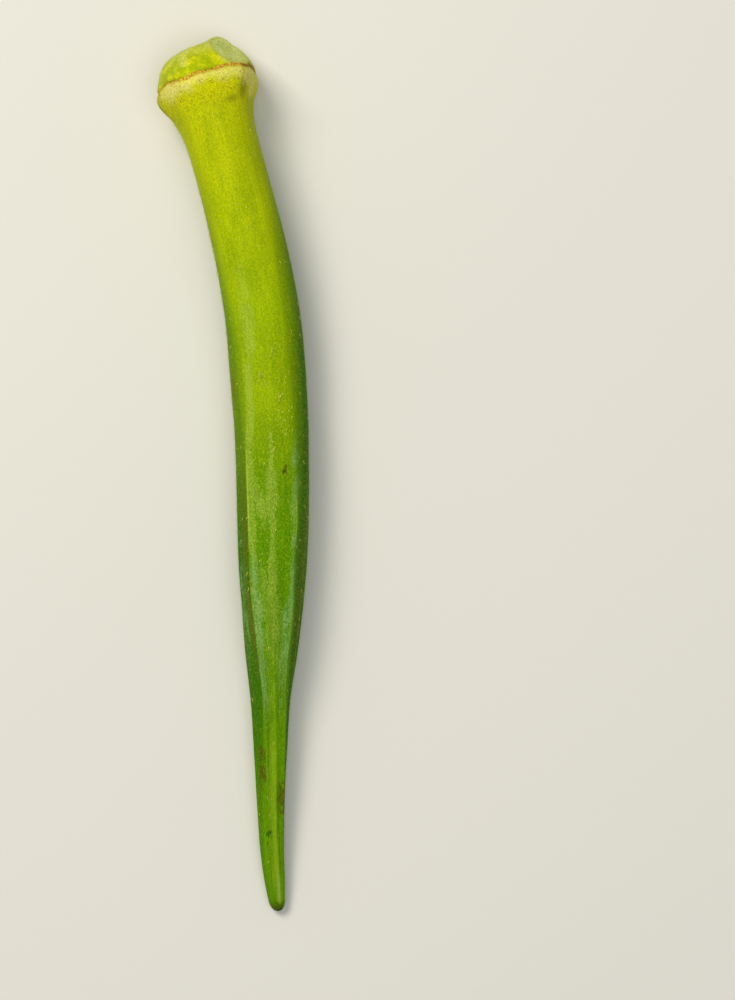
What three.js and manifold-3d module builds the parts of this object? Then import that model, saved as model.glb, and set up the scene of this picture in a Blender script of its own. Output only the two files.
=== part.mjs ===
// An okra pod as picked: a long ribbed seed pod and the stem cap that it grew on, lying on its side.
// Units are millimetres. +Z is up and the surface is Z = 0. +Y runs from the pod's tip to its cut stem.
// The origin lies on the surface, under the middle of the whole outline.
import * as THREE from "three";
import { mergeVertices } from "three/addons/utils/BufferGeometryUtils.js";
import Module from "manifold-3d";

const wasm = await Module();
wasm.setup();

const POD_LENGTH = 185.0; // along the centre line, from the scar ring to the tip
const SCAR_GAP = 0.3; // the groove of the scar ring, between the pod's collar and the cap
const ROUND_SEGMENTS = 40; // eight to each fifth of a turn, so that the ribs lie on facet edges
const POD_RINGS = 60;
const CAP_RINGS = 26;
const DOME_TOP = 9.95; // the height of the cap's dome over the scar ring, before the knife cut
const CAP_NOD = 0.0244; // how far the cap's sections tip towards the pod, per millimetre of their distance

// The centre line: [x, y, height], from over the cap to the tip. The scar ring is the second point.
const RING_POINT = 1;
const CENTRE_LINE = [
  [-8.26, 95.31, 9.17],
  [-5.86, 86.01, 11.32],
  [-4.36, 80.16, 12.65],
  [-2.81, 74.66, 13.47],
  [0.24, 63.66, 13.4],
  [3.04, 52.66, 12.4],
  [5.34, 41.66, 11.05],
  [6.84, 31.56, 9.9],
  [7.79, 19.66, 8.75],
  [8.49, 8.66, 8.85],
  [8.69, -7.84, 8.9],
  [8.39, -27.64, 8.35],
  [8.39, -49.64, 6.1],
  [8.34, -69.44, 4.7],
  [8.62, -82.64, 3.2],
  [9.36, -92.11, 2.0],
  [9.85, -96.56, 1.6],
];

// The pod's girth: [distance from the scar ring, radius]. It flares into a collar, draws in to a neck,
// swells along the seed chambers and tapers to a blunt tip.
const POD_GIRTH = [
  [0, 10.75],
  [1.2, 11.05],
  [2.4, 10.95],
  [4.0, 10.25],
  [5.6, 9.4],
  [7.5, 8.7],
  [10.0, 8.15],
  [13.0, 7.85],
  [18.0, 7.75],
  [24.0, 7.75],
  [35.0, 7.95],
  [46.0, 8.15],
  [56.7, 8.3],
  [67.5, 8.35],
  [79.6, 8.15],
  [94.0, 7.85],
  [107.0, 7.35],
  [116.0, 6.7],
  [127.0, 5.55],
  [138.0, 4.2],
  [149.0, 3.5],
  [160.0, 2.95],
  [171.0, 2.52],
  [177.5, 2.18],
  [181.2, 1.86],
  [183.2, 1.4],
  [184.5, 0.75],
];

// The cap's girth: [distance from the scar ring towards the stem, radius, lean towards +X].
const CAP_GIRTH = [
  [SCAR_GAP, 10.5, 0.3],
  [0.9, 10.68, 0.3],
  [1.7, 10.55, 0.3],
  [3.1, 10.05, 0.3],
  [4.9, 9.2, 0.25],
  [6.2, 8.22, 0.25],
  [7.15, 7.28, 0.4],
  [7.8, 6.35, 0.9],
  [8.4, 5.45, 2.0],
  [8.65, 4.6, 3.2],
  [8.85, 3.7, 4.2],
  [9.3, 2.85, 5.05],
  [9.8, 1.87, 5.7],
  [9.95, 0.9, 6.25],
];

// Five main ribs, with a lower seam rib half way between each two, as shares of the radius: [distance
// from the scar ring, how far the section goes from round to five-sided, soft wave, seam rib].
const RIBS = 5;
const PENTAGON_MEAN = 0.868; // the mean radius of a five-sided section whose corners are at 1
const RIB_HEIGHTS = [
  [-9, 0.42, 0.02, 0],
  [0, 0.3, 0.025, 0],
  [6, 0.1, 0.02, 0],
  [16, 0.04, 0.008, 0.002],
  [50, 0.08, 0.006, 0.005],
  [75, 0.25, 0.004, 0.01],
  [95, 0.42, 0, 0.015],
  [125, 0.65, 0, 0.022],
  [150, 0.8, 0, 0.03],
  [185, 0.7, 0, 0.02],
];

// Where the first rib lies: [distance from the scar ring, degrees from the top towards +X].
const RIB_TURNS = [
  [-9, 46],
  [0, 46],
  [40, 36],
  [94, 33],
  [125, 39],
  [142, 50],
  [160, 58],
  [185, 64],
];

// The oblique knife cut across the stem, by a point on it and the way it faces.
const CUT_POINT = new THREE.Vector3(0.50, 93.83, 9.24);
const CUT_FACING = new THREE.Vector3(0.436, 0.839, 0.3265).normalize();
const CUT_BLOCK = 40; // side of the block that the knife takes away

// A column of a table, by its first column, with straight lines between the rows.
function lookUp(table, column, distance) {
  const row = Math.max(1, table.findIndex((r) => r[0] >= distance));
  const last = distance > table.at(-1)[0] ? table.length - 1 : row;
  const [from, to] = [table[last - 1], table[last]];
  const share = THREE.MathUtils.clamp((distance - from[0]) / (to[0] - from[0]), 0, 1);
  return THREE.MathUtils.lerp(from[column], to[column], share);
}

const centreLine = new THREE.CatmullRomCurve3(
  CENTRE_LINE.map((p) => new THREE.Vector3(...p)),
  false,
  "catmullrom",
  0.5,
);
centreLine.arcLengthDivisions = 3200;
const lengths = centreLine.getLengths();
const ringLength = lengths[(RING_POINT * 3200) / (CENTRE_LINE.length - 1)];
const podStretch = (lengths.at(-1) - ringLength) / POD_LENGTH;

// The centre line at a distance from the scar ring, with the directions square to it: up, and out to +X.
function spineAt(distance) {
  const share = Math.min((ringLength + distance * podStretch) / lengths.at(-1), 1);
  const point = centreLine.getPointAt(share);
  const forward = centreLine.getTangentAt(share);
  const out = new THREE.Vector3().crossVectors(new THREE.Vector3(0, 0, 1), forward).normalize();
  const up = new THREE.Vector3().crossVectors(forward, out).normalize();
  return { point, forward, up, out };
}

// The cap's own line runs straight on from the scar ring and leans over towards +X, and its sections nod.
function capSpineAt(distance) {
  const { point, forward, up, out } = spineAt(0);
  point.addScaledVector(forward, -distance);
  point.addScaledVector(out, lookUp(CAP_GIRTH, 2, distance));
  up.addScaledVector(forward, CAP_NOD * distance).normalize();
  return { point, forward, up, out };
}

// The radius factor at a turn from the first rib: ribs stand out and the faces between them lie in.
function ribbed(turn, distance) {
  const fifth = (2 * Math.PI) / RIBS;
  const fromFace = THREE.MathUtils.euclideanModulo(turn, fifth) - fifth / 2;
  const fiveSided = Math.cos(fifth / 2) / Math.cos(fromFace) - PENTAGON_MEAN;
  const wave = Math.cos(RIBS * turn);
  const seamRib = ((1 - wave) / 2) ** 4;
  const [sides, soft, seam] = [1, 2, 3].map((column) => lookUp(RIB_HEIGHTS, column, distance));
  return 1 + sides * fiveSided + soft * wave + seam * seamRib;
}

// A closed lathe turned about a straight axis, with its points moved to the ribs and the spine. The side
// is 1 for the pod, below the scar ring, and -1 for the cap above it, where turns run the other way.
function sweep(girth, rings, endDistance, spine, side) {
  const curve = new THREE.SplineCurve(girth.map(([d, r]) => new THREE.Vector2(r, d)));
  const outline = curve.getPoints(rings);
  const profile = [new THREE.Vector2(0, outline[0].y), ...outline, new THREE.Vector2(0, endDistance)];
  const geometry = new THREE.LatheGeometry(profile, ROUND_SEGMENTS);
  const places = geometry.getAttribute("position");
  for (let i = 0; i < places.count; i += 1) {
    const along = places.getY(i);
    const turn = -side * Math.atan2(places.getX(i), places.getZ(i));
    const angle = turn + THREE.MathUtils.degToRad(lookUp(RIB_TURNS, 1, side * along));
    const reach = Math.hypot(places.getX(i), places.getZ(i)) * ribbed(turn, side * along);
    const { point, up, out } = spine(along);
    point.addScaledVector(up, reach * Math.cos(angle));
    point.addScaledVector(out, reach * Math.sin(angle));
    places.setXYZ(i, point.x, point.y, point.z);
  }
  return closed(geometry);
}

// The geometry with only its positions, each shared corner once.
function closed(geometry) {
  geometry.deleteAttribute("normal");
  geometry.deleteAttribute("uv");
  return mergeVertices(geometry, 1e-3);
}

function toSolid(geometry) {
  const vertProperties = new Float32Array(geometry.getAttribute("position").array);
  const triVerts = new Uint32Array(geometry.index.array);
  return new wasm.Manifold(new wasm.Mesh({ numProp: 3, vertProperties, triVerts }));
}

function toGeometry(solid) {
  const mesh = solid.getMesh();
  const geometry = new THREE.BufferGeometry();
  geometry.setAttribute("position", new THREE.BufferAttribute(new Float32Array(mesh.vertProperties), 3));
  geometry.setIndex(new THREE.BufferAttribute(new Uint32Array(mesh.triVerts), 1));
  return geometry;
}

function named(name, geometry, color, roughness) {
  geometry.computeVertexNormals();
  const mesh = new THREE.Mesh(geometry, new THREE.MeshStandardMaterial({ color, roughness, metalness: 0 }));
  mesh.name = name;
  return mesh;
}

// The ribbed pod, from its flat shoulder at the scar ring to its tip.
function makePod() {
  return named("pod", sweep(POD_GIRTH, POD_RINGS, POD_LENGTH, spineAt, 1), 0x6f9a12, 0.5);
}

// The stem cap: a low five-sided dome that the stem ran out of, cut across by a knife.
function makeStemCap() {
  const dome = toSolid(sweep(CAP_GIRTH, CAP_RINGS, DOME_TOP, capSpineAt, -1));
  const block = new THREE.BoxGeometry(CUT_BLOCK, CUT_BLOCK, CUT_BLOCK);
  block.translate(0, 0, CUT_BLOCK / 2);
  block.applyQuaternion(new THREE.Quaternion().setFromUnitVectors(new THREE.Vector3(0, 0, 1), CUT_FACING));
  block.translate(CUT_POINT.x, CUT_POINT.y, CUT_POINT.z);
  return named("stem_cap", toGeometry(dome.subtract(toSolid(closed(block)))), 0x9aa621, 0.55);
}

const okra = new THREE.Group();
okra.name = "okra_pod";
okra.add(makePod(), makeStemCap());

// The whole outline is set on the surface, over the origin.
const outline = new THREE.Box3().setFromObject(okra);
const middle = outline.getCenter(new THREE.Vector3());
okra.children.forEach((mesh) => mesh.geometry.translate(-middle.x, -middle.y, -outline.min.z));

export default okra;
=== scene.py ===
"""One picked okra pod, lying on its side: a ribbed seed pod and the knife-cut stem cap that it grew on."""

import logging
import math
from collections.abc import Mapping, Sequence
from dataclasses import dataclass, field
from enum import Enum

import bpy
import numpy as np
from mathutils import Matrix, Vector

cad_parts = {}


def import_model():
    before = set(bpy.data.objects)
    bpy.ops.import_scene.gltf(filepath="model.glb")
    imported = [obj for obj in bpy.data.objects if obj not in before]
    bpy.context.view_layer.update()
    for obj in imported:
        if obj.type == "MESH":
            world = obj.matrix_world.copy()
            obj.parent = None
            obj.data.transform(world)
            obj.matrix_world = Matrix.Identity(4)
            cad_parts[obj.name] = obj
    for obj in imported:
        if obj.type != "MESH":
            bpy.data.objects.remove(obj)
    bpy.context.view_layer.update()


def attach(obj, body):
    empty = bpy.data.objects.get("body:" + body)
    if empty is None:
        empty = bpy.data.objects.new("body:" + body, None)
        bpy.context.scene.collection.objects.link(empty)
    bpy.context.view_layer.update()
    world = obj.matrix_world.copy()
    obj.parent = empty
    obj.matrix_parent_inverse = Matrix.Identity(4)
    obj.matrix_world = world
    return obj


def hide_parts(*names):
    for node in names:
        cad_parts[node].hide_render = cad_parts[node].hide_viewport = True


LOG = logging.getLogger("okra")

MM = 0.001
RIBS = 5
FIFTH = 2 * math.pi / RIBS
PENTAGON_MEAN = 0.868  # the mean radius of a five-sided section whose corners are at 1
CAP_TURN = 46  # where the cap's first corner and the collar's first rib lie, in degrees from the top
FULL_GIRTH = 8.0  # the radius that the skin's noises are laid out for, in millimetres
SCAR_FADE = 3.0  # how far from the scar ring the skin still follows its strays, in millimetres
SCAR_TREMBLE = ((0.05, 9, 2.0), (0.04, 17, -0.7))  # waves round the ring: height, count and phase

Array = np.ndarray
Row = tuple[float, ...]
Tint = tuple[int, int, int]
Socket = bpy.types.NodeSocket
Value = Socket | float | Row
Inputs = Mapping[str | int, Value]
Layer = tuple[Value, Tint, Value, float, float, float]
Material = bpy.types.Material
Mesh = bpy.types.Mesh
Piece = bpy.types.Object


def linear(tint: Tint) -> Row:
    """Turns a tint of 0 to 255 for each of red, green and blue into a linear colour with an alpha of one."""
    shares = (channel / 255 for channel in tint)
    return (*(s / 12.92 if s <= 0.04045 else ((s + 0.055) / 1.055) ** 2.4 for s in shares), 1.0)


def wrapped(angle: Array) -> Array:
    """Brings angles in radians to within half a turn either way."""
    return np.mod(angle + math.pi, 2 * math.pi) - math.pi


def unit(vectors: Array) -> Array:
    """Brings vectors to a length of one."""
    return vectors / np.linalg.norm(vectors, axis=-1, keepdims=True)


def spokes(angle: Array, up: Array, out: Array) -> Array:
    """Returns the directions at some angles round the centre line, from up towards out."""
    return np.cos(angle)[..., None] * up + np.sin(angle)[..., None] * out


def curve_through(points: Array, where: Array) -> Array:
    """Gives places on a smooth curve through some points.

    Args:
        points: The points that the curve passes through, one to a row.
        where: How far along the curve, where point number n lies at n.

    Returns:
        The places, one to a row.
    """
    ends = np.vstack([2 * points[0] - points[1], points, 2 * points[-1] - points[-2]])
    first = np.clip(where.astype(int), 0, len(points) - 2)
    u = (where - first)[:, None]
    a, b, c, d = (ends[first + k] for k in range(4))
    square = 2 * a - 5 * b + 4 * c - d
    cube = 3 * b - a - 3 * c + d
    return 0.5 * (2 * b + (c - a) * u + square * u**2 + cube * u**3)


def shown(name: str, data: bpy.types.ID) -> Piece:
    """Puts an object into the scene.

    Args:
        name: The object's name.
        data: Its mesh, light or camera.

    Returns:
        The new object.
    """
    piece = bpy.data.objects.new(name, data)
    bpy.context.scene.collection.objects.link(piece)
    return piece


@dataclass(frozen=True)
class Table:
    """Rows of numbers, each of which starts with what it is looked up by: a distance or an angle."""

    rows: tuple[Row, ...]
    fineness: int = 60

    def straight(self, column: int, where: Array, period: float | None = None) -> Array:
        """Reads a column at some places, with straight lines between the rows."""
        rows = np.array(self.rows)
        return np.interp(where, rows[:, 0], rows[:, column], period=period)

    def smooth(self, column: int, where: Array) -> Array:
        """Reads a column at some places, with a smooth curve through the rows.

        Args:
            column: Which number of each row.
            where: The places to read it at.

        Returns:
            The column's value at each place.
        """
        rows = np.array(self.rows)[:, [0, column]]
        fine = curve_through(rows, np.linspace(0, len(rows) - 1, self.fineness * len(rows)))
        return np.interp(where, fine[:, 0], fine[:, 1])


# By the distance from the scar ring: where the first rib lies, in degrees from the top towards +X.
RIB_TURNS = Table((
    (-9, 46), (0, 46), (40, 36), (94, 33), (125, 39), (142, 50), (160, 58), (185, 64),
))
# How far the section goes from round to five-sided, its soft wave, its seam ribs and the hollows between.
RIB_HEIGHTS = Table((
    (-9, 0.42, 0.02, 0, 0), (0, 0.3, 0.025, 0, 0), (6, 0.1, 0.02, 0, 0), (16, 0.04, 0.008, 0.002, 0),
    (50, 0.07, 0.006, 0.005, 0), (66, 0.1, 0.005, 0.006, 0), (75, 0.2, 0.004, 0.01, 0.004),
    (95, 0.42, 0, 0.015, 0.01), (125, 0.65, 0, 0.022, 0.03), (150, 0.8, 0, 0.03, 0.06),
    (185, 0.7, 0, 0.02, 0.05),
))
# How far each of the five ribs strays from its even place, in degrees.
RIB_STRAYS = Table((
    (0, 0, -8.7, 0, 0, 0), (18, 0, -4, 0, 0, 0), (40, 0, 0, 0, 0, 0), (62, 2, 3, -4, 5, -1),
    (78, 5, 5, -3, 6, -3), (93, 7, 2, 3, 1, -1.5), (99, 8, -1, 5, -2, -0.8), (106, 4.5, -4, 6, -5, -0.2),
    (112, 5.5, -5, 5, -6, 0.6), (118, 7, -6, 4, -6, 1.8), (124, 2, -5, 0, -3, 3.6), (130, -3, -4, -3, 0, 6),
    (143, -3, 2, -6, 5, 4.5), (158, 0, 5, -2, 4, 1), (175, 1, 0, 0, 0, 0),
))
# By the angle round the pod: how far the scar ring strays towards the stem, in millimetres.
SCAR_STRAYS = Table((
    (-180, 0.0), (-120, 0.05), (-90, 0.1), (-57, 0.45), (-38, -0.4), (-22, -0.9), (-8, -0.25), (8, -0.2),
    (25, 0.15), (45, -0.05), (62, 0.25), (78, 0.95), (92, 0.6), (110, 0.0), (145, -0.1), (180, 0.0),
))
# By the distance from the scar ring: how thick the hairs grow, as a share.
HAIR_GROWTH = Table((
    (-20, 0.35), (-0.8, 0.35), (-0.2, 0), (0.6, 0), (1.6, 0.35), (12, 0.7), (40, 1), (170, 1), (185, 0.4),
))


def scar_shift(angle: Array, along: Array) -> Array:
    """Gives how far the skin strays towards the stem, to follow the scar ring, at angles round the pod.

    Args:
        angle: The angles from the top towards +X, in radians.
        along: The rows' distances from the ring, away from which the shift fades.

    Returns:
        The shift in millimetres for each row and angle, with a fine tremble.
    """
    fine = np.linspace(-180, 180, 4 * 360 + 1)
    level = SCAR_STRAYS.straight(1, fine)
    reach = 20
    weights = np.hanning(2 * reach + 1)
    padded = np.concatenate([level[-reach - 1 : -1], level, level[1 : reach + 1]])
    level = np.convolve(padded, weights / weights.sum(), "valid")
    tremble = sum(height * np.sin(count * angle + phase) for height, count, phase in SCAR_TREMBLE)
    shift = np.interp(np.degrees(wrapped(angle)), fine, level) + tremble
    return shift * np.exp(-((along / SCAR_FADE) ** 2))[:, None]


class Mark(Enum):
    """The kinds of mark on the skin, named as the mesh stores them."""

    CREAM = "cream"
    # partly the skin's pale bloom, partly painted sheen along the ribs
    BLOOM = "bloom"
    FROST = "frost"
    # painted highlight: pale bands where light falls on the pod's top and the cap's lower left
    LIGHT = "light"
    RUST = "rust"
    SCUFF = "scuff"
    BRUISE = "bruise"
    STROKES = "strokes"


@dataclass(frozen=True)
class Markings:
    """Where each kind of mark lies, by distances from the scar ring in millimetres and angles in degrees.

    A streak is a soft band, with a distance, angle, half width and strength at each point of its run. A spot
    is a soft oval, with a distance, angle, half length, half width and strength.
    """

    streaks: Mapping[Mark, tuple[tuple[Row, ...], ...]]
    spots: Mapping[Mark, tuple[Row, ...]]

    def covers(self, along: Array, angle: Array, girth: Array) -> dict[str, Array]:
        """Works out how strongly each kind of mark covers each point, by its strongest streak or spot.

        Args:
            along: The points' distances from the scar ring, in millimetres.
            angle: Their angles round the pod, in radians.
            girth: The pod's radius at them.

        Returns:
            The cover for each point, by the mark's name.
        """
        covers = {mark.value: np.zeros_like(along) for mark in Mark}

        def lay(mark: Mark, strength: float | Array, reach: Array) -> None:
            """Lays a soft patch that fades out past a reach of one."""
            covers[mark.value] = np.maximum(covers[mark.value], strength * np.exp(-(reach**2.4)))

        for mark, runs in self.streaks.items():
            for run in map(Table, runs):
                middle, width, strength = (run.straight(k, along) for k in (1, 2, 3))
                lay(mark, strength, np.abs(wrapped(angle - np.radians(middle)) * girth / width))
        for mark, rows in self.spots.items():
            for middle, turn, length, width, strength in rows:
                aside = wrapped(angle - math.radians(turn)) * girth / width
                lay(mark, strength, np.hypot((along - middle) / length, aside) * 1.2)
        return covers


POD_MARKS = Markings(
    streaks={
        # Pale bands just inside the ribs and along the top: partly the skin's bloom, partly painted sheen.
        Mark.BLOOM: (
            ((34, -24, 1.4, 0), (50, -23, 1.7, 0.8), (58, -24, 1.5, 1.0), (62, -27, 1.1, 0.8),
             (66, -30, 0.9, 1.1), (74, -31, 0.95, 1.1), (79, -36, 1.1, 1.1), (86, -36, 0.9, 1.0),
             (92, -34, 1.1, 1.1), (99, -34, 1.0, 1.1), (104, -34, 0.9, 0.95), (111, -31, 1.0, 0.55),
             (118, -28, 1.2, 0.5), (131, -19, 0.8, 0)),
            ((88, -27, 0.3, 0), (91, -25, 1.1, 0.8), (94, -20, 1.9, 0.9), (97, -17, 1.7, 0.8),
             (100, -15, 0.8, 0.4), (102, -14, 0.5, 0)),
            ((78, -2, 0.3, 0), (79.5, -2, 0.35, 1.2), (84, 0, 0.4, 1.3), (87, -2, 0.8, 1.1),
             (90, -3, 1.35, 1.1), (94, -2, 1.6, 1.1), (98, 0, 1.0, 1.0), (101, 1, 0.5, 1.1),
             (106, 1, 0.7, 1.0), (109, 0, 1.4, 0.9), (113, 4, 1.4, 0.85), (118, 8, 1.3, 0.8),
             (124, 11, 1.3, 0.8), (132, 10, 0.9, 0)),
            ((105, -14, 0.5, 0), (109, -14, 1.4, 0.6), (114, -8, 1.9, 0.6), (121, -4, 2.2, 0.6),
             (128, 0, 2.0, 0.4), (137, 4, 1.6, 0.2), (146, 0, 1.0, 0)),
            ((60, 112, 1.2, 0), (80, 108, 1.3, 0.8), (104, 104, 1.2, 0.8), (126, 100, 0.9, 0)),
            ((50, -112, 1.3, 0), (74, -114, 1.4, 0.9), (100, -116, 1.3, 0.7), (122, -112, 1, 0)),
        ),
        Mark.FROST: (
            ((104, -31, 0.4, 0), (107.5, -31, 0.8, 0.9), (110.5, -30, 0.9, 1.1), (112.7, -29, 0.6, 0.6),
             (115, -27, 0.9, 1.0), (119, -25, 1.0, 1.0), (124, -23, 0.8, 0.95), (130, -20, 0.75, 0.9),
             (138, -17, 0.6, 0.6), (146, -14, 0.4, 0)),
            ((76, 37, 0.6, 0), (81, 38, 0.9, 0.5), (89, 39, 1.0, 0.55), (95, 37, 0.9, 0.6),
             (101, 38, 0.7, 0.62), (108, 40, 0.8, 0.68), (114, 39, 0.9, 0.7), (119, 33, 1.5, 0.75),
             (126, 32, 1.3, 0.6), (136, 28, 0.9, 0.4), (146, 26, 0.6, 0)),
            ((173, 18, 0.4, 0), (177, 20, 0.5, 0.5), (181.5, 23, 0.5, 0.75), (184, 24, 0.3, 0)),
            ((70, 168, 1.2, 0), (96, 170, 1.4, 0.9), (116, 168, 1.2, 0.8), (136, 170, 0.8, 0)),
            ((96, -66, 0.8, 0), (106, -66, 1.2, 0.5), (119, -63, 1.4, 0.7), (134, -56, 0.6, 0)),
        ),
        # Painted highlight: pale bands along the top towards the tip, and along the sides.
        Mark.LIGHT: (
            ((118, 8, 1.6, 0), (132, 8, 1.7, 0.25), (142, 7, 1.7, 0.5), (150, 7, 1.4, 0.75),
             (158, 7, 1.0, 0.85), (167, 9, 0.9, 0.9), (173, 12, 0.9, 0.95), (178, 15, 1.0, 1.25),
             (182, 20, 0.8, 1.1), (184, 24, 0.5, 0)),
            ((120, 150, 1.6, 0), (140, 150, 2.0, 0.8), (160, 160, 1.6, 0.7), (182, 165, 0.8, 0)),
            ((118, -130, 1.6, 0), (142, -130, 2.0, 0.8), (162, -120, 1.4, 0.7), (182, -118, 0.8, 0)),
        ),
        Mark.RUST: (
            # An olive-brown band down the left flank, beside its first rib.
            ((76, -57, 1.1, 0), (90, -55, 1.3, 0.55), (100, -53, 1.3, 0.75), (111, -50, 1.2, 0.5),
             (121, -43, 1.2, 0.85), (128, -39, 1.0, 0.5), (138, -34, 0.8, 0)),
            ((88, 70, 0.9, 0), (98, 71, 1.1, 0.5), (122, 68, 1.1, 0.6), (134, 62, 0.8, 0)),
        ),
    },
    spots={
        # The collar's cream patches; the broad spots at 60 and 76 degrees and the tint's lightness are partly
        # painted light that lifts the collar's right face.
        Mark.CREAM: (
            (1.2, -50, 3.6, 6.5, 1.05), (1.5, -22, 2.9, 4.0, 0.85), (1.4, -4, 2.3, 4.0, 0.72),
            (1.6, 18, 2.2, 5.0, 0.76), (1.5, 38, 2.5, 3.6, 0.85), (2.0, 60, 3.2, 4.5, 0.95),
            (3.0, 76, 4.2, 4.0, 0.85), (1.5, 100, 3.0, 5.0, 0.8), (1.5, 160, 3.6, 8.0, 0.9),
            (1.5, -130, 2.4, 9.0, 0.8),
        ),
        Mark.RUST: (
            (4.8, 49, 2.8, 1.7, 1.0), (6.9, 31, 1.3, 2.0, 0.75), (1.2, -80, 1.4, 2.0, 0.7),
            # The spot at 68 mm and -69 degrees browns the pod's left edge.
            (3.0, -100, 3.0, 3.0, 0.8), (5.0, 140, 4.0, 3.5, 0.6), (68, -69, 4.5, 1.2, 0.95),
        ),
        Mark.SCUFF: (
            (87.3, 20, 1.1, 0.7, 0.9), (85.9, 22, 0.5, 0.35, 0.8), (88.5, 46, 1.0, 0.7, 0.5),
            (149.3, -42, 1.8, 1.0, 1.0), (150.2, -28, 1.5, 0.6, 0.85), (153.8, -36, 2.2, 1.2, 1.1),
            (154.8, -23, 0.9, 0.5, 0.95), (157.0, -47, 0.9, 0.8, 0.9), (159.6, 49, 4.0, 1.25, 1.1),
            (47, 128, 3.5, 1.0, 0.6), (112, 150, 3.0, 0.7, 0.65), (88, -140, 4.0, 0.8, 0.6),
            (30, -96, 1.2, 0.7, 0.7), (136, 98, 4.0, 0.6, 0.6),
        ),
        Mark.BRUISE: (
            (87.6, 19, 0.5, 0.4, 1.3), (167.3, -19, 1.0, 1.1, 1.0), (169.3, -27, 0.8, 0.6, 0.7),
            (166.9, -4, 0.6, 0.7, 0.6), (120, 120, 2.5, 0.9, 0.5),
        ),
        Mark.STROKES: (
            (73, 18, 4.6, 1.9, 0.9), (78, 22, 2.4, 1.6, 1.0), (65, -10, 3.0, 1.2, 0.8),
            (66, 28, 1.8, 0.9, 0.8), (60, 10, 1.5, 1.0, 0.6), (84, 1, 5.0, 0.45, 1.2),
            (97, 3, 5.0, 0.5, 1.0), (100, 140, 12.0, 4.0, 0.3), (40, -100, 12.0, 4.0, 0.3),
        ),
    },
)
CAP_MARKS = Markings(
    streaks={},
    spots={
        # a painted highlight on the cap's lower left
        Mark.LIGHT: ((-2.0, -82, 1.6, 2.2, 0.8),),
        Mark.SCUFF: (
            (-8.6, 12, 0.5, 0.9, 0.5), (-7.0, -62, 0.5, 1.4, 0.5), (-6.5, 170, 0.8, 1.6, 0.5),
            (-4.0, -135, 0.7, 1.2, 0.5),
        ),
    },
)


class NodeGraph:
    """A node tree that is being built, with a short call for each kind of node that it needs."""

    def __init__(self, tree: bpy.types.NodeTree) -> None:
        """Starts on an empty tree."""
        self.tree = tree

    def feed(self, socket: Socket, value: Value) -> None:
        """Links a socket to an output, or sets its value.

        Args:
            socket: The input socket.
            value: An output socket, or a plain value.
        """
        if isinstance(value, Socket):
            self.tree.links.new(value, socket)
        else:
            socket.default_value = value

    def add(self, kind: str, inputs: Inputs | None = None, **settings: object) -> bpy.types.Node:
        """Adds a node.

        Args:
            kind: Blender's name for the node's type.
            inputs: Values or links for its sockets, by name or number.
            **settings: The node's own settings.

        Returns:
            The new node.
        """
        node = self.tree.nodes.new(kind)
        for name, setting in settings.items():
            setattr(node, name, setting)
        for name, value in (inputs or {}).items():
            if isinstance(name, str):
                self.feed(next(s for s in node.inputs if s.name == name and s.enabled), value)
            else:
                self.feed(node.inputs[name], value)
        return node

    def out(self, kind: str, inputs: Inputs | None = None, **settings: object) -> Socket:
        """Adds a node as add does, and returns its first output."""
        return self.add(kind, inputs, **settings).outputs[0]

    def math(self, operation: str, *values: Value, clamp: bool = False) -> Socket:
        """Adds a sum on numbers and returns its result."""
        return self.out("ShaderNodeMath", dict(enumerate(values)), operation=operation, use_clamp=clamp)

    def times(self, first: Value, second: Value) -> Socket:
        """Returns the product of two numbers."""
        return self.math("MULTIPLY", first, second)

    def fused(self, first: Value, second: Value, third: Value) -> Socket:
        """Returns the product of two numbers, plus a third."""
        return self.math("MULTIPLY_ADD", first, second, third)

    def centred(self, noise: Value) -> Socket:
        """Returns a noise less its middle value."""
        return self.math("SUBTRACT", noise, 0.5)

    def vector(self, operation: str, *values: Value) -> Socket:
        """Adds a sum on vectors and returns its result."""
        return self.out("ShaderNodeVectorMath", dict(enumerate(values)), operation=operation)

    def scaled(self, vector: Value, factor: Value) -> Socket:
        """Returns a vector times a number."""
        return self.out("ShaderNodeVectorMath", {0: vector, "Scale": factor}, operation="SCALE")

    def drawn(self, place: Value, share: float) -> Socket:
        """Returns a place with its last number scaled, so that a noise there is drawn out along the pod."""
        return self.vector("MULTIPLY", place, (1.0, 1.0, share))

    def step(self, value: Value, low: float, high: float, top: float = 1.0) -> Socket:
        """Adds a smooth step.

        Args:
            value: What the step goes by.
            low: Where it starts, with a result of zero.
            high: Where it ends, above or below.
            top: The result there.

        Returns:
            The stepped value.
        """
        (start, nought), (end, full) = sorted(((low, 0.0), (high, top)))
        inputs = {"Value": value, "From Min": start, "From Max": end, "To Min": nought, "To Max": full}
        return self.out("ShaderNodeMapRange", inputs, interpolation_type="SMOOTHSTEP")

    def noise(self, place: Value, scale: float, detail: float = 2.0, roughness: float = 0.5) -> Socket:
        """Adds cloudy noise, from about 0.3 to 0.7, and returns its value."""
        inputs = {"Vector": place, "Scale": scale, "Detail": detail, "Roughness": roughness}
        return self.out("ShaderNodeTexNoise", inputs)


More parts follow.
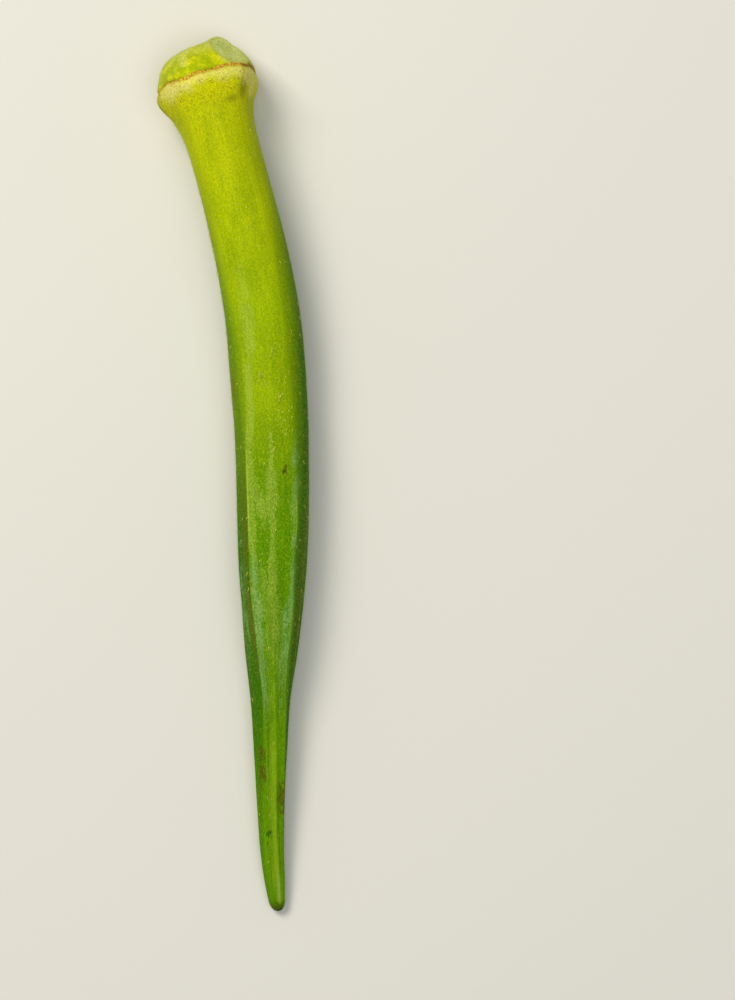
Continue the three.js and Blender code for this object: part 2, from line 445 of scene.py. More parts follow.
class PaintGraph(NodeGraph):
    """A material's node tree, with calls for what colours are made of."""

    def __init__(self, name: str) -> None:
        """Starts a material.

        Args:
            name: The material's name.
        """
        self.material = bpy.data.materials.new(name)
        self.material.use_nodes = True
        super().__init__(self.material.node_tree)
        self.tree.nodes.clear()

    def number(self, name: str) -> Socket:
        """Returns a number that is stored on the mesh."""
        return self.add("ShaderNodeAttribute", attribute_name=name).outputs["Fac"]

    def mark(self, mark: Mark) -> Socket:
        """Returns the cover of a kind of mark."""
        return self.number(mark.value)

    def place(self, name: str) -> Socket:
        """Returns a vector that is stored on the mesh."""
        return self.add("ShaderNodeAttribute", attribute_name=name).outputs["Vector"]

    def spot(self) -> Socket:
        """Returns the place on the piece, in millimetres."""
        return self.scaled(self.add("ShaderNodeTexCoord").outputs["Object"], 1 / MM)

    def mix(self, share: Value, first: Value, second: Value, blend: str = "MIX") -> Socket:
        """Adds a blend of two colours and returns its result."""
        inputs = {0: share, 6: first, 7: second}
        return self.add("ShaderNodeMix", inputs, data_type="RGBA", blend_type=blend).outputs[2]

    def tinted(self, colour: Value, *layers: tuple[Value, Tint]) -> Socket:
        """Lays some tints over a colour in turn.

        Args:
            colour: The colour.
            *layers: For each, how much of it there is, from 0 to 1, and its tint.

        Returns:
            The colour with them.
        """
        for share, tint in layers:
            colour = self.mix(share, colour, linear(tint))
        return colour

    def varied(self, colour: Value, *changes: tuple[Value, float, float, float]) -> Socket:
        """Makes a colour darker and lighter by some noises, its red more than its green.

        Args:
            colour: The colour.
            *changes: For each, the noise, how far from 0.5 it goes, and the darkest and the lightest factor.

        Returns:
            The varied colour.
        """
        for noise, spread, dark, light in changes:
            ends = {"From Min": 0.5 - spread, "From Max": 0.5 + spread, "To Min": dark, "To Max": light}
            factor = self.out("ShaderNodeMapRange", {"Value": noise, **ends})
            calm = self.fused(factor, 0.72, 0.28)
            shade = self.out("ShaderNodeCombineXYZ", {0: factor, 1: calm, 2: factor})
            colour = self.mix(1.0, colour, shade, "MULTIPLY")
        return colour

    def ragged(self, cover: Value, noise: Value, jag: float, low: float, high: float, most: float) -> Socket:
        """Gives a soft cover a ragged, grainy edge.

        Args:
            cover: The soft cover, from 0 to 1.
            noise: The noise that breaks it up, about 0.5.
            jag: How strongly it does.
            low: The broken cover that starts to show.
            high: The broken cover that shows in full.
            most: How much shows in full.

        Returns:
            The ragged cover.
        """
        broken = self.fused(self.centred(noise), jag, cover)
        return self.times(self.step(broken, low, high, most), self.step(cover, 0.03, 0.3))

    def dusted(self, colour: Value, dust: Value, *layers: Layer) -> Socket:
        """Lays thin dustings with ragged edges over a colour, through which it still shows.

        Args:
            colour: The colour.
            dust: The fine noise that breaks the dustings all over.
            *layers: For each, its soft cover, its tint, the noise that breaks its edge and how strongly, and
                how much of it there is where the dust is thinnest and where it is thickest.

        Returns:
            The dusted colour.
        """
        for cover, tint, edge, jag, low, most in layers:
            patch = self.ragged(cover, edge, jag, 0.1, 1.0, 1.0)
            thin = self.math("ADD", self.step(dust, 0.4, 0.6, most - low), low)
            colour = self.tinted(colour, (self.times(patch, thin), tint))
        return colour

    def ramp(self, value: Value, stops: Sequence[tuple[float, Tint]]) -> Socket:
        """Adds a run of colours.

        Args:
            value: What the colour goes by, from 0 to 1.
            stops: Places from 0 to 1, in order, with the tint at each.

        Returns:
            The colour.
        """
        node = self.add("ShaderNodeValToRGB", {"Fac": value})
        elements = node.color_ramp.elements
        for spare in list(elements)[1:]:
            elements.remove(spare)
        for index, (stop, tint) in enumerate(stops):
            element = elements.new(stop) if index else elements[0]
            element.position, element.color = stop, linear(tint)
        return node.outputs["Color"]

    def end(
        self,
        colour: Value,
        roughness: Value,
        specular: float,
        bumps: tuple[Value, float, float] | None = None,
        flesh: Row | None = None,
    ) -> Material:
        """Ends the material with its shader.

        Args:
            colour: Its colour.
            roughness: Its roughness.
            specular: How strongly it shines.
            bumps: The height of its fine bumps, their strength, and their depth in metres.
            flesh: How far red, green and blue light spreads under the skin, as shares.

        Returns:
            The material.
        """
        inputs = {"Base Color": colour, "Roughness": roughness, "Specular IOR Level": specular}
        if bumps:
            height, strength, depth = bumps
            bump = {"Height": height, "Strength": strength, "Distance": depth}
            inputs["Normal"] = self.out("ShaderNodeBump", bump)
        if flesh:
            inputs |= {"Subsurface Weight": 0.08, "Subsurface Radius": flesh, "Subsurface Scale": 0.8 * MM}
        self.add("ShaderNodeOutputMaterial", {"Surface": self.out("ShaderNodeBsdfPrincipled", inputs)})
        return self.material


class ShapeTree(NodeGraph):
    """A Geometry Nodes tree with named inputs, and the way it is run on a mesh."""

    def __init__(self, name: str, inputs: Mapping[str, float | int]) -> None:
        """Starts a tree.

        Args:
            name: The tree's name.
            inputs: The name and usual value of each number that it takes.
        """
        super().__init__(bpy.data.node_groups.new(name, "GeometryNodeTree"))
        add = self.tree.interface.new_socket
        for way in ("OUTPUT", "INPUT"):
            add("Geometry", in_out=way, socket_type="NodeSocketGeometry")
        for label, usual in inputs.items():
            kind = "NodeSocketInt" if isinstance(usual, int) else "NodeSocketFloat"
            add(label, in_out="INPUT", socket_type=kind).default_value = usual
        add("Finish", in_out="INPUT", socket_type="NodeSocketMaterial")
        self.source = self.add("NodeGroupInput")

    def given(self, name: str) -> Socket:
        """Returns one of the tree's inputs."""
        return self.source.outputs[name]

    def number(self, name: str, kind: str = "FLOAT") -> Socket:
        """Returns a number that is stored on the mesh."""
        return self.out("GeometryNodeInputNamedAttribute", {"Name": name}, data_type=kind)

    def place(self, name: str) -> Socket:
        """Returns a vector that is stored on the mesh."""
        return self.number(name, "FLOAT_VECTOR")

    def finish(self, geometry: Value) -> "ShapeTree":
        """Ends the tree: smooth shading, real geometry that stays on or over the surface, and a material.

        Args:
            geometry: What the tree has made.

        Returns:
            The tree.
        """
        smooth = self.out("GeometryNodeSetShadeSmooth", {"Geometry": geometry})
        real = self.out("GeometryNodeRealizeInstances", {"Geometry": smooth})
        x, y, z = self.add("ShaderNodeSeparateXYZ", {0: self.out("GeometryNodeInputPosition")}).outputs
        lifted = self.out("ShaderNodeCombineXYZ", {0: x, 1: y, 2: self.math("MAXIMUM", z, 0.0)})
        rested = self.out("GeometryNodeSetPosition", {"Geometry": real, "Position": lifted})
        dressed = self.out("GeometryNodeSetMaterial", {"Geometry": rested, "Material": self.given("Finish")})
        self.add("NodeGroupOutput", {"Geometry": dressed})
        return self

    def run(self, mesh: Mesh, name: str, finish: Material, **values: float) -> Piece:
        """Runs the tree on a mesh and keeps the result as a plain piece.

        Args:
            mesh: What goes in.
            name: The piece's name.
            finish: Its material.
            **values: Numbers for the named inputs, with _ for a space.

        Returns:
            An object at the origin that holds the made mesh.
        """
        piece = shown(name, mesh)
        modifier = piece.modifiers.new(name, "NODES")
        modifier.node_group = self.tree
        sockets = {s.name: s.identifier for s in self.tree.interface.items_tree if s.in_out == "INPUT"}
        modifier[sockets["Finish"]] = finish
        for label, value in values.items():
            modifier[sockets[label.replace("_", " ").capitalize()]] = value
        graph = bpy.context.evaluated_depsgraph_get()
        live = piece.evaluated_get(graph)
        made = bpy.data.meshes.new_from_object(live, preserve_all_data_layers=True, depsgraph=graph)
        piece.modifiers.clear()
        piece.data = made
        made.name = name
        return piece


@dataclass
class PodAxis:
    """The pod's centre line, from over the cap to the tip, in millimetres."""

    points: tuple[Row, ...] = (
        (-8.26, 95.31, 9.17), (-5.86, 86.01, 11.32), (-4.36, 80.16, 12.65), (-2.81, 74.66, 13.47),
        (0.24, 63.66, 13.4), (3.04, 52.66, 12.4), (5.34, 41.66, 11.05), (6.84, 31.56, 9.9),
        (7.79, 19.66, 8.75), (8.49, 8.66, 8.85), (8.69, -7.84, 8.9), (8.39, -27.64, 8.35),
        (8.39, -49.64, 6.1), (8.34, -69.44, 4.7), (8.62, -82.64, 3.2), (9.36, -92.11, 2.0),
        (9.85, -96.56, 1.6),
    )
    ring_point: int = 1
    pod_length: float = 185.0
    fineness: int = 400
    _where: Array = field(init=False, repr=False)
    _length: Array = field(init=False, repr=False)

    def __post_init__(self) -> None:
        """Measures the line."""
        spans = len(self.points) - 1
        self._where = np.linspace(0, spans, self.fineness * spans + 1)
        line = curve_through(np.array(self.points), self._where)
        steps = np.linalg.norm(np.diff(line, axis=0), axis=1)
        self._length = np.concatenate([[0], np.cumsum(steps)])

    def point(self, distance: Array) -> Array:
        """Finds places on the line.

        Args:
            distance: Distances from the scar ring, positive towards the tip.

        Returns:
            The places, one to a row.
        """
        ring = np.interp(self.ring_point, self._where, self._length)
        stretch = (self._length[-1] - ring) / self.pod_length
        where = np.interp(ring + distance * stretch, self._length, self._where)
        return curve_through(np.array(self.points), where)

    def frame(self, distance: Array) -> tuple[Array, Array, Array, Array]:
        """Gives the line's place and directions.

        Args:
            distance: Distances from the scar ring, in millimetres.

        Returns:
            The places, and the unit directions towards the tip, up, and out towards +X.
        """
        near = 0.05
        safe = np.clip(distance, 0.0, self.pod_length - near)
        forward = unit(self.point(safe + near) - self.point(np.maximum(safe - near, 0)))
        out = unit(np.cross([0.0, 0.0, 1.0], forward))
        return self.point(distance), forward, np.cross(forward, out), out


@dataclass
class SkinGrid:
    """A closed skin laid out as rows round the centre line and columns along the ribs.

    Each field but the last has a value for each row and column. The places and directions have three.
    """

    places: Array
    outward: Array
    forward: Array
    along: Array
    angle: Array
    girth: Array
    side: int

    @staticmethod
    def turns(columns: int) -> Array:
        """Returns each column's turn from the first rib, in radians."""
        return np.arange(columns) * 2 * math.pi / columns

    def mesh(self, name: str, extras: Mapping[str, Array]) -> Mesh:
        """Builds the closed skin, with all that the ribs, marks and finishes go by.

        Args:
            name: The mesh's name.
            extras: More numbers to store, each for each row and column.

        Returns:
            A mesh in metres with a number or vector for each use on its points, and a flat map.
        """
        rows, columns = self.along.shape
        turn = np.tile(self.turns(columns), (rows, 1))
        signed = self.along * self.side
        stored = {
            "along": signed,
            "turn": turn,
            "near": 1 - np.abs(np.mod(turn, FIFTH) / FIFTH * 2 - 1),
            "angle": self.angle,
            "girth": self.girth,
            **extras,
            "outward": self.outward,
            "forward": self.forward,
            "straight": np.stack([FULL_GIRTH * np.cos(turn), FULL_GIRTH * np.sin(turn), signed], axis=-1),
        }
        faces, flat = self.faces()
        mesh = bpy.data.meshes.new(name)
        mesh.from_pydata(self.closed(self.places) * MM, [], faces)
        for label, values in stored.items():
            self.store(mesh, label, self.closed(values))
        mesh.uv_layers.new(name="OFBake").data.foreach_set("uv", flat.astype(np.float32).ravel())
        return mesh

    @staticmethod
    def closed(values: Array) -> Array:
        """Lists the values of all rows and columns, and then the mean of each end for its middle point."""
        listed = values.reshape(-1, *values.shape[2:])
        return np.concatenate([listed, [values[0].mean(axis=0), values[-1].mean(axis=0)]])

    def faces(self) -> tuple[list[list[int]], Array]:
        """Lays out squares between the rows and a fan at each end, all facing outwards.

        Returns:
            The corners of each face, and each corner's place on a flat map of two strips, cut along a column.
        """
        rows, columns = self.along.shape
        half = rows // 2
        row, column = (part.ravel() for part in np.mgrid[: rows - 1, :columns])
        first, top = np.arange(columns), np.zeros(columns, int)
        faces, flat = [], []
        for corners in (
            ((row, column), (row, column + 1), (row + 1, column + 1), (row + 1, column)),
            ((top - 1, first + 0.5), (top, first + 1), (top, first)),
            ((top + rows, first + 0.5), (top + rows - 1, first), (top + rows - 1, first + 1)),
        ):
            down, across = np.array(corners[:: -self.side]).transpose(1, 2, 0)
            point = down * columns + across % columns
            point[down < 0], point[down == rows] = rows * columns, rows * columns + 1
            faces += point.astype(int).tolist()
            second = (down.min(axis=1) >= half)[:, None]
            level = np.where(second, (down - half) / (rows - half), (down + 1) / (half + 1))
            across = 0.01 + 0.47 * (across / columns) + 0.5 * second
            flat.append(np.stack([across, 0.01 + 0.98 * level], axis=-1).reshape(-1, 2))
        return faces, np.concatenate(flat)

    @staticmethod
    def store(mesh: Mesh, name: str, values: Array) -> None:
        """Stores a number or a vector on each point of a mesh."""
        kind, key = ("FLOAT", "value") if values.ndim == 1 else ("FLOAT_VECTOR", "vector")
        mesh.attributes.new(name, kind, "POINT").data.foreach_set(key, values.astype(np.float32).ravel())

    def marked(self, marks: Markings) -> dict[str, Array]:
        """Works out each kind of mark's cover, by its name."""
        return marks.covers(self.along * self.side, self.angle, self.girth)

    def fuzz(self) -> Array:
        """Works out how thick the hairs grow: more on the flanks, none where the skin rests.

        Returns:
            The thickness for each row and column, as a share.
        """
        thick = HAIR_GROWTH.straight(1, self.along * self.side) * (1 + 0.4 * np.sin(self.angle) ** 8)
        bare, ease = 0.6, 0.8  # over the surface, in millimetres
        return thick * np.clip((self.places[..., 2] - bare) / ease, 0, 1)


def rib_relief() -> ShapeTree:
    """Builds the tree that raises ribs, seams and slow lumps on a round skin.

    Returns:
        A tree that moves each point of the skin out or in.
    """
    sizes = {"Crest height": 0.06, "Crest width": 0.45, "Lump height": 0.12, "Lump size": 7.0, "Grain": 0.02}
    graph = ShapeTree("rib_relief", sizes)
    turn, girth, near, sides = (graph.number(name) for name in ("turn", "girth", "near", "sides"))
    from_face = graph.math("SUBTRACT", graph.math("FLOORED_MODULO", turn, FIFTH), FIFTH / 2)
    five_sided = graph.math("DIVIDE", math.cos(FIFTH / 2), graph.math("COSINE", from_face))
    five_sided = graph.math("SUBTRACT", five_sided, PENTAGON_MEAN)
    wave = graph.math("COSINE", graph.times(turn, float(RIBS)))
    seam_rib = graph.math("POWER", graph.fused(wave, -0.5, 0.5), 4.0)
    trough = graph.math("SINE", graph.times(near, math.pi))
    share = graph.fused(graph.number("soft"), wave, graph.times(sides, five_sided))
    share = graph.fused(graph.number("seam"), seam_rib, share)
    share = graph.fused(graph.times(graph.number("hollow"), -1.0), trough, share)
    away = graph.times(graph.times(near, girth), FIFTH / 2)
    away = graph.math("DIVIDE", away, graph.given("Crest width"))
    bead = graph.math("EXPONENT", graph.times(graph.times(away, away), -1.0))
    bead = graph.times(bead, graph.given("Crest height"))
    rise = graph.fused(bead, graph.step(sides, 0.15, 0.45), graph.times(share, girth))
    straight = graph.place("straight")
    slow = graph.scaled(straight, graph.math("DIVIDE", 1.0, graph.given("Lump size")))
    lump = graph.centred(graph.noise(graph.drawn(slow, 0.6), 1.0, 2.0))
    calm = graph.math("MINIMUM", graph.math("DIVIDE", girth, FULL_GIRTH), 1.0)
    lump = graph.times(lump, graph.times(calm, graph.given("Lump height")))
    grain = graph.centred(graph.noise(graph.drawn(straight, 0.25), 1.1, 1.0))
    rise = graph.fused(grain, graph.given("Grain"), graph.math("ADD", rise, lump))
    rise = graph.math("ADD", rise, graph.number("swell"))
    offset = graph.scaled(graph.place("outward"), graph.times(rise, MM))
    moved = graph.out("GeometryNodeSetPosition", {"Geometry": graph.given("Geometry"), "Offset": offset})
    return graph.finish(moved)


def hair_coat() -> ShapeTree:
    """Builds the tree that grows short leaning hairs on a skin.

    Returns:
        A tree that turns a skin into its hairs.
    """
    sizes = {"Hairs per square mm": 2.0, "Hair length": 0.5, "Hair radius": 0.02}
    graph = ShapeTree("hair_coat", {**sizes, "Lean": 0.9, "Disorder": 0.5, "Seed": 3})
    seed = graph.given("Seed")

    def chance(salt: int, low: Value, high: Value, kind: str = "FLOAT") -> Socket:
        """Draws a random value for each hair.

        Args:
            salt: What is added to the seed, so that each use draws its own values.
            low: The lowest value.
            high: The highest value.
            kind: Blender's name for the kind of value.

        Returns:
            The value.
        """
        inputs = {"Min": low, "Max": high, "Seed": graph.math("ADD", seed, float(salt))}
        node = graph.add("FunctionNodeRandomValue", inputs, data_type=kind)
        return next(s for s in node.outputs if s.enabled)

    density = graph.times(graph.times(graph.given("Hairs per square mm"), 1e6), graph.number("fuzz"))
    spread = graph.add(
        "GeometryNodeDistributePointsOnFaces",
        {"Mesh": graph.given("Geometry"), "Density": density, "Seed": seed},
        distribute_method="RANDOM",
    ).outputs
    way = graph.vector("ADD", spread["Normal"], graph.scaled(graph.place("forward"), graph.given("Lean")))
    wild = chance(11, (-1.0, -1.0, -1.0), (1.0, 1.0, 1.0), "FLOAT_VECTOR")
    way = graph.vector("ADD", way, graph.scaled(wild, graph.given("Disorder")))
    turned = graph.out("FunctionNodeAlignRotationToVector", {"Vector": way}, axis="Z")
    spin = graph.out("FunctionNodeAxisAngleToRotation", {"Angle": chance(23, 0.0, 6.283)})
    inputs = {"Rotation": turned, "Rotate By": spin}
    turned = graph.out("FunctionNodeRotateRotation", inputs, rotation_space="LOCAL")
    inputs = {"Vertices": 3, "Side Segments": 1, "Radius Top": 0.0, "Radius Bottom": 1.0, "Depth": 1.0}
    hair = graph.add("GeometryNodeMeshCone", inputs, fill_type="NONE").outputs["Mesh"]
    length = graph.times(graph.times(graph.given("Hair length"), MM), chance(31, 0.45, 1.3))
    radius = graph.times(graph.given("Hair radius"), MM)
    size = graph.out("ShaderNodeCombineXYZ", {"X": radius, "Y": radius, "Z": length})
    inputs = {"Points": spread["Points"], "Instance": hair, "Rotation": turned, "Scale": size}
    placed = graph.out("GeometryNodeInstanceOnPoints", inputs)
    inputs = {"Geometry": placed, "Name": "shade", "Value": chance(41, 0.0, 1.0)}
    shaded = graph.out("GeometryNodeStoreNamedAttribute", inputs, data_type="FLOAT", domain="INSTANCE")
    return graph.finish(shaded)


def cork_bead() -> ShapeTree:
    """Builds the tree that turns a closed loop into a rough bead of cork.

    Returns:
        A tree that makes the bead.
    """
    graph = ShapeTree("cork_bead", {"Bead radius": 0.3, "Roughness": 0.22})
    place = graph.scaled(graph.out("GeometryNodeInputPosition"), 1 / MM)
    size = graph.fused(graph.noise(place, 0.8, 3.0, 0.6), 2.6, -0.3)
    size = graph.times(size, graph.number("thick"))
    path = graph.out("GeometryNodeMeshToCurve", {"Mesh": graph.given("Geometry")})
    path = graph.out("GeometryNodeSetCurveRadius", {"Curve": path, "Radius": size})
    radius = graph.times(graph.given("Bead radius"), MM)
    ring = graph.out("GeometryNodeCurvePrimitiveCircle", {"Resolution": 12, "Radius": radius}, mode="RADIUS")
    bead = graph.out("GeometryNodeCurveToMesh", {"Curve": path, "Profile Curve": ring, "Scale": size})
    rough = graph.centred(graph.noise(place, 2.2, 3.0, 0.6))
    rough = graph.times(rough, graph.times(graph.given("Roughness"), MM))
    offset = graph.scaled(graph.out("GeometryNodeInputNormal"), rough)
    return graph.finish(graph.out("GeometryNodeSetPosition", {"Geometry": bead, "Offset": offset}))


@dataclass(frozen=True)
class SkinFinish:
    """The pod's skin: greens that deepen from collar to tip, painted shade down the flanks, bloom with
    painted sheen, frost, painted highlights, fibre streaks and marks.
    """

    greens: tuple[tuple[float, Tint], ...] = (
        (0.0, (200, 202, 8)), (4.0, (198, 200, 7)), (8.0, (178, 188, 4)), (50.0, (152, 180, 2)),
        (72.0, (142, 170, 2)), (92.0, (98, 144, 0)), (108.0, (90, 141, 0)), (130.0, (90, 140, 2)),
        (150.0, (90, 142, 0)), (182.0, (90, 142, 0)), (185.0, (56, 64, 8)),
    )
    # painted shade: a deeper green laid down each flank in place of the shade there
    painted_shade: Tint = (46, 106, 0)
    ripe: Tint = (196, 198, 30)
    # real cream, lightened in part as painted light for the collar's right face, which the lamps leave darker
    cream: Tint = (240, 227, 128)
    rim: Tint = (196, 158, 44)
    cork_fleck: Tint = (140, 98, 30)
    # partly the pale bloom's tint, partly painted sheen
    bloom: Tint = (172, 192, 72)
    frost: Tint = (142, 181, 110)
    # painted highlight tint
    light: Tint = (152, 182, 28)
    crest: Tint = (178, 202, 62)
    rust: Tint = (112, 104, 14)
    scuff: Tint = (86, 82, 12)
    bruise: Tint = (42, 92, 2)
    length: float = 185.0
    specular: float = 0.025
    bump: Row = (0.7, 0.08 * MM)
    flesh: Row = (0.9, 1.0, 0.2)

    def build(self) -> Material:
        """Builds the material.

        Returns:
            A node material that reads the skin's stored numbers.
        """
        graph = PaintGraph("pod_skin")
        along, straight, flank_shade = graph.number("along"), graph.place("straight"), graph.number("flank_shade")
        fibre = graph.noise(graph.drawn(straight, 0.06), 1.7, 3.0, 0.6)
        thread = graph.noise(graph.drawn(straight, 0.03), 4.5, 2.0)
        grain = graph.noise(graph.drawn(straight, 0.8), 3.0, 3.0, 0.65)
        speck = graph.noise(straight, 7.5, 2.0, 0.6)
        cloud = graph.noise(graph.drawn(straight, 0.3), 0.3, 3.0, 0.55)
        blotch = graph.noise(graph.drawn(straight, 0.45), 0.62, 3.0, 0.6)
        mottle = graph.noise(graph.drawn(straight, 0.8), 1.15, 3.0, 0.62)
        crumbs = graph.fused(speck, 0.5, graph.times(grain, 0.5))
        streaky = graph.fused(blotch, 0.5, graph.times(fibre, 0.25))
        streaky = graph.fused(crumbs, 0.25, streaky)
        share = graph.math("DIVIDE", along, self.length, clamp=True)
        colour = graph.ramp(share, [(at / self.length, tint) for at, tint in self.greens])
        # Painted shade: a deeper green down each flank, broken by noise, that stands in for the shade there.
        painted_shade = graph.fused(graph.centred(crumbs), 0.5, flank_shade)
        painted_shade = graph.fused(graph.centred(cloud), 0.5, painted_shade)
        painted_shade = graph.times(graph.math("MAXIMUM", painted_shade, 0.0), graph.step(flank_shade, 0.0, 0.25, 0.94))
        colour = graph.varied(
            graph.tinted(colour, (painted_shade, self.painted_shade)),
            (cloud, 0.16, 0.86, 1.12),
            (fibre, 0.16, 0.94, 1.06),
            (thread, 0.16, 0.95, 1.05),
            (grain, 0.14, 0.8, 1.2),
            (speck, 0.12, 0.7, 1.28),
        )
        colour = graph.tinted(colour, (graph.step(grain, 0.52, 0.66, 0.28), self.ripe))
        pale = graph.times(graph.step(graph.number("near"), 0.055, 0.01), graph.number("crest"))
        colour = graph.dusted(
            colour,
            crumbs,
            # painted highlight bands
            (graph.mark(Mark.LIGHT), self.light, streaky, 2.4, 0.35, 0.9),
            (graph.mark(Mark.RUST), self.rust, crumbs, 2.0, 0.2, 0.75),
            # partly bloom, partly painted sheen along the ribs
            (graph.mark(Mark.BLOOM), self.bloom, streaky, 3.2, 0.12, 0.6),
            (graph.mark(Mark.FROST), self.frost, streaky, 4.4, 0.06, 0.72),
            (pale, self.crest, fibre, 1.4, 0.4, 0.85),
        )
        colour = self.collar(graph, colour, along, straight, crumbs)
        dots = graph.add("ShaderNodeTexVoronoi", {"Vector": graph.drawn(straight, 0.55), "Scale": 0.95})
        dots = graph.step(dots.outputs["Distance"], 0.16, 0.064)
        dots = graph.times(dots, graph.step(grain, 0.46, 0.6, 0.5))
        scuffs = graph.ragged(graph.mark(Mark.SCUFF), mottle, 4.6, 0.4, 0.8, 0.85)
        bruises = graph.ragged(graph.mark(Mark.BRUISE), mottle, 2.4, 0.35, 0.9, 0.85)
        colour = graph.tinted(colour, (dots, self.crest), (scuffs, self.scuff), (bruises, self.bruise))
        height = graph.fused(thread, 0.25, graph.times(crumbs, 1.1))
        height = graph.fused(dots, 0.5, graph.fused(fibre, 0.3, height))
        gloss = graph.fused(crumbs, 0.5, 0.3)
        return graph.end(colour, gloss, self.specular, (height, *self.bump), self.flesh)

    def collar(
        self, graph: PaintGraph, colour: Value, along: Value, straight: Value, crumbs: Value
    ) -> Socket:
        """Adds the collar's cream patches, lightened in part as painted light, the corky rim by the scar
        ring, and cork flecks.

        Args:
            graph: The graph to build in.
            colour: The colour so far.
            along: The distance from the scar ring.
            straight: The straightened place.
            crumbs: The fine noise.

        Returns:
            The colour with them.
        """
        patch = graph.noise(graph.drawn(straight, 0.8), 0.5, 3.0, 0.6)
        colour = graph.dusted(
            colour,
            crumbs,
            (graph.mark(Mark.CREAM), self.cream, patch, 1.6, 0.4, 0.95),
            (graph.step(along, 1.2, 0.2), self.rim, patch, 2.0, 0.1, 0.8),
        )
        fleck = graph.step(graph.noise(straight, 3.0, 3.0, 0.7), 0.53, 0.62, 0.85)
        zone = graph.times(graph.step(along, 14.0, 1.0), graph.step(patch, 0.46, 0.62, 0.9))
        zone = graph.math("MAXIMUM", zone, graph.mark(Mark.RUST))
        big = graph.step(graph.noise(straight, 1.7, 2.0, 0.6), 0.64, 0.69, 0.8)
        big = graph.times(big, graph.step(along, 14.0, 3.0))
        return graph.tinted(colour, (graph.times(fleck, zone), self.cork_fleck), (big, self.cork_fleck))


@dataclass(frozen=True)
class CapFinish:
    """The stem cap's skin: yellow-green faces, pale corners and shoulder, and the pale fibrous cut, lightened
    in part as painted light.
    """

    face: Tint = (204, 206, 14)
    shade: Tint = (170, 184, 6)
    corner: Tint = (214, 210, 96)
    shoulder: Tint = (184, 192, 62)
    stub: Tint = (192, 192, 92)
    rim: Tint = (170, 150, 22)
    fleck: Tint = (140, 96, 40)
    # The cut's tints are a pale flesh, lightened further as painted light so that the steep cut looks as
    # bright as the lit skin.
    cut_light: Tint = (218, 226, 134)
    cut_dark: Tint = (198, 212, 84)
    cut_core: Tint = (186, 202, 100)
    cut_speck: Tint = (216, 176, 130)
    cut_edge: Tint = (186, 184, 70)
    verge: Tint = (190, 192, 82)
    specular: float = 0.035
    bump: Row = (0.7, 0.09 * MM)
    flesh: Row = (1.0, 1.0, 0.25)

    def build(self) -> Material:
        """Builds the material.

        Returns:
            A node material that reads the cap's stored numbers.
        """
        graph = PaintGraph("cap_skin")
        cut, place = graph.number("cut"), graph.spot()
        height = graph.times(graph.number("along"), -1.0)
        grain = graph.noise(place, 2.2, 3.0, 0.65)
        speck = graph.noise(place, 6.5, 2.0, 0.6)
        blotch = graph.noise(place, 0.32, 3.0, 0.55)
        crumbs = graph.fused(speck, 0.5, graph.times(grain, 0.5))
        corner = graph.times(graph.step(graph.number("near"), 0.42, 0.02), graph.step(height, 1.2, 4.5))
        colour = graph.dusted(
            graph.mix(graph.step(blotch, 0.4, 0.58), linear(self.shade), linear(self.face)),
            crumbs,
            (graph.step(height, 4.0, 7.0), self.shoulder, blotch, 1.6, 0.4, 0.85),
            (corner, self.corner, blotch, 1.4, 0.3, 0.8),
            (graph.step(height, 8.0, 9.4), self.stub, blotch, 1.2, 0.4, 0.85),
            # painted highlight on the cap's lower left
            (graph.mark(Mark.LIGHT), self.corner, blotch, 1.6, 0.2, 0.75),
            (graph.number("verge"), self.verge, blotch, 1.4, 0.5, 0.9),
            (graph.step(height, 0.9, 0.1), self.rim, grain, 2.0, 0.15, 0.75),
        )
        changes = ((blotch, 0.16, 0.92, 1.06), (grain, 0.14, 0.8, 1.18), (speck, 0.12, 0.8, 1.18))
        colour = graph.varied(colour, *changes)
        colour = graph.mix(cut, colour, self.cut_face(graph, place, speck))
        edge = graph.ragged(graph.number("edge"), crumbs, 2.4, 0.4, 1.1, 0.5)
        fleck = graph.step(graph.noise(place, 1.7, 3.0, 0.7), 0.63, 0.7, 0.55)
        scuffs = graph.ragged(graph.mark(Mark.SCUFF), crumbs, 3.0, 0.45, 0.8, 0.8)
        colour = graph.tinted(colour, (edge, self.cut_edge), (fleck, self.fleck), (scuffs, self.fleck))
        bumps = graph.fused(graph.times(cut, 0.8), speck, crumbs)
        gloss = graph.fused(crumbs, 0.4, graph.fused(cut, 0.2, 0.25))
        return graph.end(colour, gloss, self.specular, (bumps, *self.bump), self.flesh)

    def cut_face(self, graph: PaintGraph, place: Value, speck: Value) -> Socket:
        """Colours the cut: a greener outer layer, a pale ring of fibres, and a soft core with fine pores.

        Args:
            graph: The graph to build in.
            place: The place, in millimetres.
            speck: The finest noise.

        Returns:
            The cut's colour.
        """
        wander = graph.centred(graph.noise(place, 0.9, 2.0))
        depth = graph.fused(wander, 0.35, graph.number("inset"))
        spokes = graph.noise(graph.drawn(graph.place("straight"), 0.0), 2.6, 2.0, 0.6)
        colour = graph.mix(graph.step(spokes, 0.35, 0.65), linear(self.cut_dark), linear(self.cut_light))
        ring = graph.times(graph.step(depth, 0.18, 0.32), graph.step(depth, 0.56, 0.4, 0.45))
        colour = graph.tinted(
            colour,
            (graph.step(depth, 0.3, 0.08, 0.5), self.cut_dark),
            (graph.step(depth, 0.42, 0.75, 0.6), self.cut_core),
            (ring, self.cut_light),
            (graph.step(speck, 0.57, 0.66, 0.6), self.cut_speck),
        )
        return graph.varied(colour, (graph.noise(place, 2.6, 3.0, 0.75), 0.12, 0.6, 1.2))


